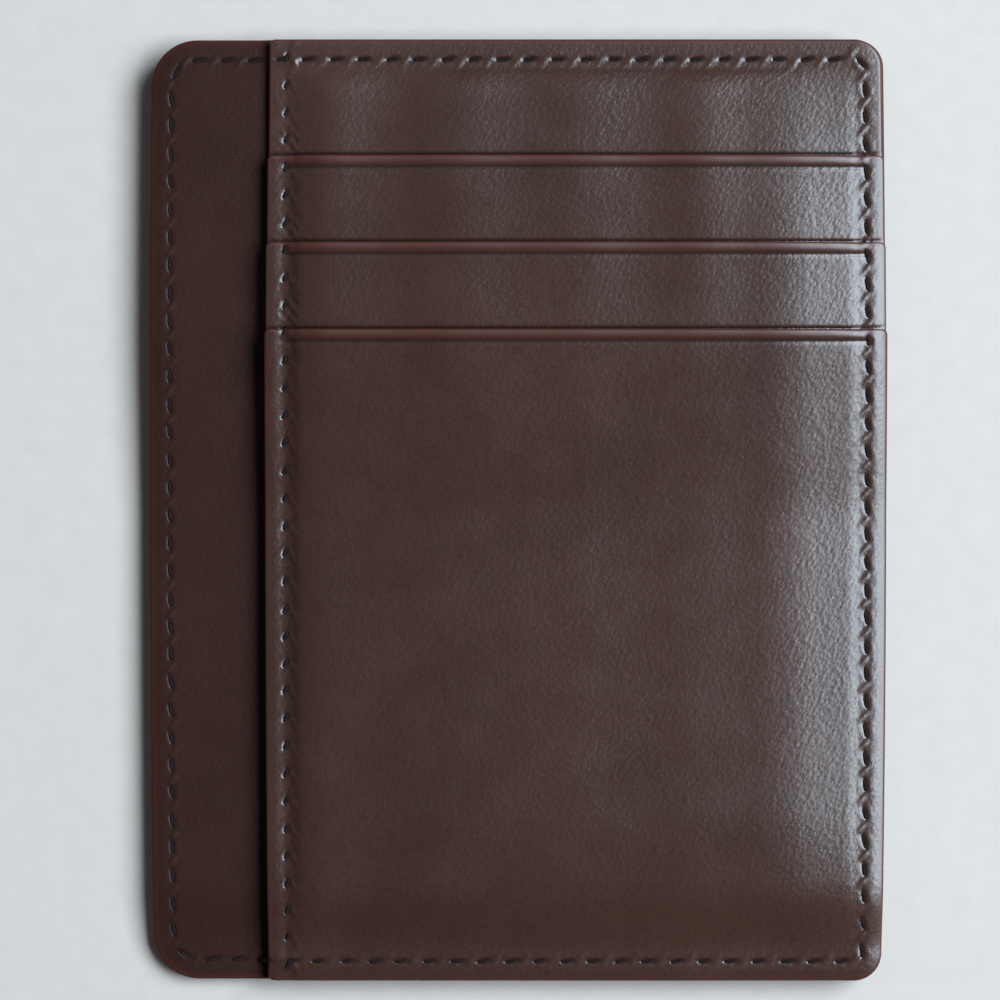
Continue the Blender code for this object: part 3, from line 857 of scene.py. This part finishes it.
class Nodes:
    """A short way to write a material's nodes."""

    def __init__(self, name):
        self.mat = bpy.data.materials.new(name)
        self.mat.use_nodes = True
        self.tree = self.mat.node_tree
        self.shader = self.tree.nodes["Principled BSDF"]
        self.place = self.tree.nodes.new("ShaderNodeTexCoord").outputs["Object"]

    def add(self, kind, **inputs):
        node = self.tree.nodes.new("ShaderNode" + kind)
        for key, value in inputs.items():
            self.feed(node.inputs[key.replace("_", " ")], value)
        return node

    def feed(self, socket, value):
        if isinstance(value, bpy.types.NodeSocket):
            self.tree.links.new(value, socket)
        else:
            socket.default_value = value

    def stretched(self, length, turn=0.0):
        """Coordinates drawn out to a length along an axis turned from Y."""
        node = self.add("Mapping", Vector=self.place, Scale=(1.0, length, 1.0))
        node.vector_type = "TEXTURE"
        node.inputs["Rotation"].default_value = (0.0, 0.0, turn)
        return node.outputs["Vector"]

    def noise(self, scale, detail=2.0, roughness=0.5, vector=None):
        vector = vector or self.place
        node = self.add("TexNoise", Vector=vector, Scale=scale, Detail=detail)
        node.inputs["Roughness"].default_value = roughness
        return node.outputs["Fac"]

    def cells(self, scale, smooth=0.6, vector=None):
        vector = vector or self.place
        node = self.add("TexVoronoi", Vector=vector, Scale=scale)
        node.feature = "SMOOTH_F1"
        node.inputs["Smoothness"].default_value = smooth
        return node.outputs["Distance"]

    def math(self, operation, a, b):
        node = self.tree.nodes.new("ShaderNodeMath")
        node.operation = operation
        for socket, value in zip(node.inputs, (a, b)):
            self.feed(socket, value)
        return node.outputs[0]

    def times(self, a, b):
        return self.math("MULTIPLY", a, b)

    def ranged(self, value, source, target):
        """A value carried from one range of numbers to another."""
        node = self.add("MapRange", Value=value)
        for key, number in zip(("From Min", "From Max", "To Min", "To Max"), (*source, *target)):
            node.inputs[key].default_value = number
        return node.outputs["Result"]

    def mixed(self, factor, a, b):
        node = self.tree.nodes.new("ShaderNodeMix")
        node.data_type = "RGBA"
        self.feed(node.inputs["Factor"], factor)
        self.feed(node.inputs["A"], a)
        self.feed(node.inputs["B"], b)
        return node.outputs["Result"]

    def mask(self, name):
        """A number that the mesh carries at its points."""
        node = self.tree.nodes.new("ShaderNodeAttribute")
        node.attribute_name = name
        return node.outputs["Fac"]

    def bump(self, height, distance, strength, normal=None):
        node = self.add("Bump", Height=height, Distance=distance, Strength=strength)
        if normal is not None:
            self.feed(node.inputs["Normal"], normal)
        return node.outputs["Normal"]

    def finished(self, color, roughness, normal=None, **settings):
        """The material, with what varies over it linked and its settings on the shader."""
        self.feed(self.shader.inputs["Base Color"], color)
        self.feed(self.shader.inputs["Roughness"], roughness)
        if normal is not None:
            self.feed(self.shader.inputs["Normal"], normal)
        for key, value in settings.items():
            self.shader.inputs[key.replace("_", " ")].default_value = value
        return self.mat


def rgb(red, green, blue):
    return (red, green, blue, 1.0)


EDGE_PAINT = rgb(0.054, 0.0135, 0.0080)
# The colour that painted shade is mixed toward: in creases, round stitch beds and under slot lips
PAINTED_SHADE_TONE = rgb(0.006, 0.003, 0.003)
VALLEY_TONE = rgb(0.012, 0.006, 0.005)
GRAIN_TURN = -0.6
CREEP_TURN = -0.7
GRAIN_HEIGHT = 0.00005
CREEP_HEIGHT = 0.00006
THREAD_HEIGHT = 0.00003
WEAVE_HEIGHT = 0.00005
CRUMPLE_HEIGHT = 0.0002
SCUFF_HEIGHT = 0.00004


def leather_material(name, dark_tone, light_tone, smoothness, specular):
    """Smooth calf leather: a fine pebble grain with drawn-out wrinkles, a painted edge, shade
    painted in the creases, round the stitch beds and under the slot lips, and a finish that varies
    in gloss."""
    n = Nodes(name)
    pebble = n.cells(2700.0, vector=n.stretched(1.5, GRAIN_TURN))
    small = n.noise(6000.0, detail=3.0, roughness=0.6)
    creep = n.noise(1900.0, detail=3.0, roughness=0.55, vector=n.stretched(3.2, CREEP_TURN))
    broad = n.noise(55.0, detail=3.0)
    patches = n.noise(210.0, detail=3.0, roughness=0.55)
    grain = n.math("ADD", n.times(pebble, 0.75), n.times(small, 0.35))
    paint = n.mask("paint")
    painted_shade = n.mask("painted_shade")
    tone = n.ranged(n.math("ADD", broad, n.times(patches, 0.3)), (0.45, 0.85), (0.0, 1.0))
    color = n.mixed(tone, dark_tone, light_tone)
    color = n.mixed(n.ranged(pebble, (0.35, 0.9), (0.0, 0.30)), color, VALLEY_TONE)
    color = n.mixed(n.times(paint, 0.85), color, EDGE_PAINT)
    # Painted shade in the creases, round the stitch beds and under the slot lips
    color = n.mixed(n.times(painted_shade, 0.8), color, PAINTED_SHADE_TONE)
    gloss = n.ranged(n.math("ADD", n.times(patches, 0.5), small), (0.55, 0.95), smoothness)
    gloss = n.math("SUBTRACT", gloss, n.times(painted_shade, 0.06))
    gloss = n.math("ADD", gloss, n.times(paint, 0.10))
    unpainted = n.ranged(paint, (0.0, 0.5), (1.0, 0.12))
    fine = n.bump(grain, GRAIN_HEIGHT, n.times(unpainted, 0.55))
    folds = n.bump(creep, CREEP_HEIGHT, n.times(unpainted, 0.5), fine)
    return n.finished(color, gloss, folds, Specular_IOR_Level=specular)


def thread_material():
    """Waxed polyester thread, deep brown, with fine filaments."""
    n = Nodes("thread")
    strands = n.noise(9000.0, roughness=0.6)
    color = n.mixed(strands, rgb(0.004, 0.0025, 0.0025), rgb(0.013, 0.008, 0.007))
    gloss = n.ranged(strands, (0.3, 0.7), (0.55, 0.8))
    normal = n.bump(strands, THREAD_HEIGHT, 0.5)
    return n.finished(color, gloss, normal, Specular_IOR_Level=0.08)


def textile_material():
    """Plain-woven pocket lining."""
    n = Nodes("textile")
    warp = n.add("TexWave", Vector=n.place, Scale=720.0, Distortion=0.4)
    weft = n.add("TexWave", Vector=n.place, Scale=720.0, Distortion=0.4)
    weft.bands_direction = "Y"
    weave = n.times(warp.outputs["Fac"], weft.outputs["Fac"])
    slubs = n.noise(700.0, vector=n.stretched(12.0))
    color = n.mixed(weave, rgb(0.010, 0.008, 0.007), rgb(0.040, 0.030, 0.026))
    color = n.mixed(n.times(slubs, 0.3), color, rgb(0.055, 0.044, 0.040))
    gloss = n.ranged(slubs, (0.3, 0.7), (0.75, 0.92))
    return n.finished(color, gloss, n.bump(weave, WEAVE_HEIGHT, 0.6))


def foil_material():
    """Metallised shielding film, softly crumpled."""
    n = Nodes("foil")
    crumple = n.cells(260.0, smooth=0.2)
    haze = n.noise(600.0)
    color = n.mixed(haze, rgb(0.58, 0.58, 0.57), rgb(0.74, 0.74, 0.73))
    gloss = n.ranged(haze, (0.3, 0.7), (0.26, 0.42))
    return n.finished(color, gloss, n.bump(crumple, CRUMPLE_HEIGHT, 0.4), Metallic=1.0)


def film_material():
    """Clear window film with a faint haze and fine scuffs."""
    n = Nodes("film")
    scuffs = n.noise(900.0, detail=4.0, vector=n.stretched(7.0, GRAIN_TURN))
    color = n.mixed(scuffs, rgb(0.86, 0.89, 0.90), rgb(0.95, 0.97, 0.98))
    gloss = n.ranged(scuffs, (0.35, 0.75), (0.06, 0.2))
    normal = n.bump(scuffs, SCUFF_HEIGHT, 0.2)
    return n.finished(color, gloss, normal, Transmission_Weight=0.94)


def wallet_materials():
    """Each slot's material."""
    return {
        "leather": leather_material(
            "leather",
            rgb(0.0275, 0.0110, 0.0073),
            rgb(0.0340, 0.0137, 0.0091),
            smoothness=(0.26, 0.34),
            specular=0.44,
        ),
        # The strip's leather: a darker copy of the leather with little sheen, which paints the shade
        # that the front half casts across the strip
        "facing_leather": leather_material(
            "facing_leather",
            rgb(0.0195, 0.0077, 0.0053),
            rgb(0.0245, 0.0098, 0.0069),
            smoothness=(0.36, 0.44),
            specular=0.10,
        ),
        "textile": textile_material(),
        "foil": foil_material(),
        "film": film_material(),
        "thread": thread_material(),
    }


# Building the wallet


HIDDEN_LAP = 2.0 * MM


def corner_radii(left, bottom, top):
    """Radii of a leather's corners: rounded where they lie on the outline, else barely cut."""
    own_left = CORNER_LEFT if left == LEFT else CORNER_CUT
    low = bottom == BOTTOM
    high = top == TOP
    return (
        own_left if low else CORNER_CUT,
        CORNER_RIGHT if low else CORNER_CUT,
        CORNER_RIGHT if high else CORNER_CUT,
        own_left if high else CORNER_CUT,
    )


def declare(sheet):
    """Works out the sheet's flat area, and keeps nothing of it."""
    sheet.area()


def leather_sheet(name, left, right, bottom, top, shown, outer, mats, slot):
    """A leather whose outer face is fine where shown(x, y) is true."""
    openings = name == "back_window_frame"
    sheet = Sheet(name, left, right, bottom, top, corner_radii(left, bottom, top), openings)
    piece = build_sheet(sheet, outer, fine_interior(sheet, shown), leather_relief)
    finish_piece(piece, name, slot, mats)
    declare(sheet)


def above(low):
    return lambda x, y: y > low


def build_leather(mats):
    """The leather sheets of both halves."""
    tops = (TOP, *SLOT_EDGES)
    ends = (*SLOT_EDGES, BOTTOM)
    for half, names, outer in (("front", FRONT_OUTER, 1), ("back", BACK_OUTER, -1)):
        for i, name in enumerate(names):
            inset = (3 - i) * LAYER_GROW if half == "front" else 0.0
            left = (FRONT_LEFT if half == "front" else LEFT) + inset
            bottom = floor_of(name) if i in (1, 2) else BOTTOM
            leather_sheet(name, left, RIGHT - inset, bottom, tops[i],
                          above(ends[i] - HIDDEN_LAP), outer, mats, "leather")
    leather_sheet("back_lining", LEFT, RIGHT, BOTTOM, TOP,
                  lambda x, y: x < FRONT_LEFT + HIDDEN_LAP, 1, mats, "facing_leather")


def thin_sheet(name, left, right, bottom, top, radii, mats, slot):
    """A sheet of cloth, foil or film."""
    sheet = Sheet(name, left, right, bottom, top, radii)
    piece = build_sheet(sheet, 1, plain_interior(sheet), no_relief)
    finish_piece(piece, name, slot, mats)
    declare(sheet)


def build_thin(mats):
    """Liners, shields and the window film."""
    cut = (CORNER_CUT,) * 4
    for half, left in (("front", FRONT_LEFT), ("back", LEFT)):
        corner = (CORNER_LEFT if left == LEFT else CORNER_RIGHT) - TEXTILE_IN
        radii = (corner, corner, CORNER_CUT, CORNER_CUT)
        sides = (left + TEXTILE_IN, RIGHT - TEXTILE_IN)
        for i, bottom in ((1, floor_of(half + "_slot_1_liner")), (2, BOTTOM + TEXTILE_IN)):
            name = f"{half}_slot_{i}_liner"
            top = SLOT_EDGES[i - 1] - TEXTILE_IN
            thin_sheet(name, *sides, bottom, top, radii, mats, "textile")
        inset = SEAM_IN + FOIL_IN
        thin_sheet(half + "_shield", SIDE_SEAM_X + FOIL_IN, RIGHT - inset, BOTTOM + inset,
                   TOP - inset, cut, mats, "foil")
    corner = CORNER_RIGHT - TEXTILE_IN
    for name, top, upper in (("front_lining", TOP, corner),
                             ("front_slot_3_liner", SLOT_EDGES[2], CORNER_CUT)):
        thin_sheet(name, FRONT_LEFT + TEXTILE_IN, RIGHT - TEXTILE_IN, BOTTOM + TEXTILE_IN,
                   top - TEXTILE_IN, (corner, corner, upper, upper), mats, "textile")
    over = grown(WINDOW_RECT, FILM_OVERLAP)
    thin_sheet("back_window_film", *over, WINDOW_RADII, mats, "film")


# Thread


def front_surface(x, y):
    """The front's outer surface at points, from the strip on to the stack."""
    z = level("front_panel", x, y, 1.0)
    for name, edge in zip(FRONT_OUTER[1:], SLOT_EDGES):
        z = np.where(y < edge, level(name, x, y, 1.0), z)
    return np.where(x < FRONT_LEFT, level("back_lining", x, y, 1.0), z)


def back_surface(x, y):
    """The back's outer surface at points."""
    z = level("back_panel", x, y, 0.0)
    for name, edge in zip(BACK_OUTER[1:], SLOT_EDGES):
        z = np.where(y < edge, level(name, x, y, 0.0), z)
    return z


def surface_of(name, share):
    """The surface at a share of a sheet's thickness."""
    return lambda x, y: level(name, x, y, share)


def taut(z, outer):
    """The line that a taut thread takes over the heights z, on the outer side of them."""
    z = z * outer
    count = len(z)
    steps = np.arange(count)
    best = z.copy()
    for i in range(count):
        for j in range(i + 2, count):
            inner = steps[i + 1 : j]
            line = z[i] + (z[j] - z[i]) * (inner - i) / (j - i)
            best[inner] = np.maximum(best[inner], line)
    return best * outer


def stitch_mesh(place, surface, outer, sink, steps=13, sides=6):
    """(vertices, faces) of one stitch: plies twisted round a line that dives in at both ends."""
    cx, cy, angle, length = place
    t = np.linspace(-1, 1, steps)
    run = t * length / 2
    x = cx + run * math.cos(angle)
    y = cy + run * math.sin(angle)
    z = taut(surface(x, y), outer)
    z = z - outer * (DIVE * np.abs(t) ** 5 + sink)
    slim = 1 - END_SLIMMING * t**4
    across = np.array([-math.sin(angle), math.cos(angle)])
    vertices = []
    faces = []
    for ply in range(PLIES):
        phase = 2 * math.pi * ply / PLIES + t * PLY_TWIST
        px = x + PLY * slim * np.cos(phase) * across[0]
        py = y + PLY * slim * np.cos(phase) * across[1]
        pz = z + PLY * slim * PLY_FLATTENING * np.sin(phase)
        first = len(vertices)
        for i in range(steps):
            radius = PLY * PLY_FULLNESS * slim[i]
            for k in range(sides):
                turn = 2 * math.pi * k / sides
                shift = radius * math.cos(turn)
                lift = radius * math.sin(turn)
                vertices.append((px[i] + shift * across[0], py[i] + shift * across[1], pz[i] + lift))
        for i in range(steps - 1):
            for k in range(sides):
                a = first + i * sides + k
                b = first + i * sides + (k + 1) % sides
                faces.append((a, b, b + sides, a + sides))
        faces.append(tuple(first + k for k in reversed(range(sides))))
        faces.append(tuple(first + (steps - 1) * sides + k for k in range(sides)))
    return vertices, faces


def build_seam(node, stitches, surface, outer, sink, mats):
    """All the stitches of a seam. outer is 1 for an upward surface and -1 for a downward one."""
    vertices = []
    faces = []
    for place in stitches:
        points, quads = stitch_mesh(place, surface, outer, sink)
        faces += [tuple(i + len(vertices) for i in quad) for quad in quads]
        vertices += [(bowed(x, y), y, z) for x, y, z in points]
    piece = mesh_object(node + "_stitches", vertices, faces)
    finish_piece(piece, node, "thread", mats)


def build_seams(mats):
    """Every seam: its node, stitches, surface, outward side, and how deep it sinks in."""
    over_film = surface_of("back_window_film", 1.0)
    under_lining = surface_of("front_lining", 0.0)
    over_panel = surface_of("back_panel", 1.0)
    seams = (
        ("perimeter_needle_thread", RIM_STITCHES, front_surface, 1, SINK),
        ("perimeter_bobbin_thread", RIM_STITCHES, back_surface, -1, SINK),
        ("front_side_needle_thread", SIDE_STITCHES, front_surface, 1, SINK),
        ("back_side_needle_thread", SIDE_STITCHES, back_surface, -1, SINK),
        ("back_window_needle_thread", WINDOW_STITCHES, back_surface, -1, SINK),
        ("back_window_bobbin_thread", WINDOW_STITCHES, over_film, 1, -0.05 * MM),
        ("front_side_bobbin_thread", SIDE_STITCHES, under_lining, -1, -0.03 * MM),
        ("back_side_bobbin_thread", SIDE_STITCHES, over_panel, 1, 0.02 * MM),
    )
    for seam in seams:
        build_seam(*seam, mats)
    for half, left in (("front", FRONT_LEFT), ("back", LEFT)):
        liner = half + "_slot_1_liner"
        y = floor_of(liner) + SEAM_IN
        line = np.array([(left + 2 * SEAM_IN, y), (RIGHT - 2 * SEAM_IN, y)])
        stitches = stitches_along(line, False, RIM_SLANT)
        build_seam(half + "_slot_1_bottom_thread", stitches, surface_of(liner, 1.0), 1, 0.0, mats)


# Stage: a pale floor, which the threads of the back touch just under the frame's zero

FLOOR_HALF = 0.9
FLOOR_Z = -0.1 * MM


def build_stage():
    h = FLOOR_HALF
    corners = [(-h, -h, FLOOR_Z), (h, -h, FLOOR_Z), (h, h, FLOOR_Z), (-h, h, FLOOR_Z)]
    floor = mesh_object("floor", corners, [(0, 1, 2, 3)])
    n = Nodes("floor")
    color = n.mixed(n.noise(400.0, detail=3.0), rgb(0.37, 0.33, 0.30), rgb(0.41, 0.37, 0.34))
    floor.data.materials.append(n.finished(color, 0.9, Specular_IOR_Level=0.1))


def aim(obj, target):
    direction = Vector(target) - obj.location
    obj.rotation_euler = direction.to_track_quat("-Z", "Y").to_euler()


def add_light(name, place, size, energy, color):
    """A soft rectangular light that faces the wallet."""
    data = bpy.data.lights.new(name, "AREA")
    data.shape = "RECTANGLE"
    data.size, data.size_y = size
    data.energy = energy
    data.color = color
    obj = bpy.data.objects.new(name, data)
    obj.location = place
    aim(obj, (0.0, 0.0, 0.0))
    bpy.context.scene.collection.objects.link(obj)


def build_lights():
    add_light("window", place=(0.80, 0.21, 0.92), size=(1.10, 0.80), energy=54.0,
              color=(0.76, 0.89, 1.0))
    add_light("fill", place=(-0.5, 0.5, 0.9), size=(1.0, 1.0), energy=0.8,
              color=(1.0, 0.96, 0.92))
    world = bpy.data.worlds.new("studio")
    world.use_nodes = True
    background = world.node_tree.nodes["Background"]
    background.inputs["Color"].default_value = rgb(0.80, 0.86, 0.95)
    background.inputs["Strength"].default_value = 0.08
    bpy.context.scene.world = world
    bpy.context.scene.view_settings.view_transform = "Standard"


# Camera: straight above but for a slight tilt, FIELD wide at its target

CAMERA_DISTANCE = 0.450
CAMERA_TILT = math.radians(1.2)
CAMERA_TARGET = (-1.9 * MM, 1.3 * MM, 4.5 * MM)
FIELD = 109.7 * MM


def build_camera():
    data = bpy.data.cameras.new("camera")
    data.sensor_width = 36.0
    data.lens = data.sensor_width * CAMERA_DISTANCE / FIELD
    camera = bpy.data.objects.new("camera", data)
    x, y, z = CAMERA_TARGET
    back = CAMERA_DISTANCE
    camera.location = (x, y + back * math.sin(CAMERA_TILT), z + back * math.cos(CAMERA_TILT))
    camera.rotation_euler = (-CAMERA_TILT, 0.0, 0.0)
    bpy.context.scene.collection.objects.link(camera)
    bpy.context.scene.camera = camera


def main():
    build_camera()
    build_lights()
    build_stage()
    mats = wallet_materials()
    build_leather(mats)
    build_thin(mats)
    build_seams(mats)


main()
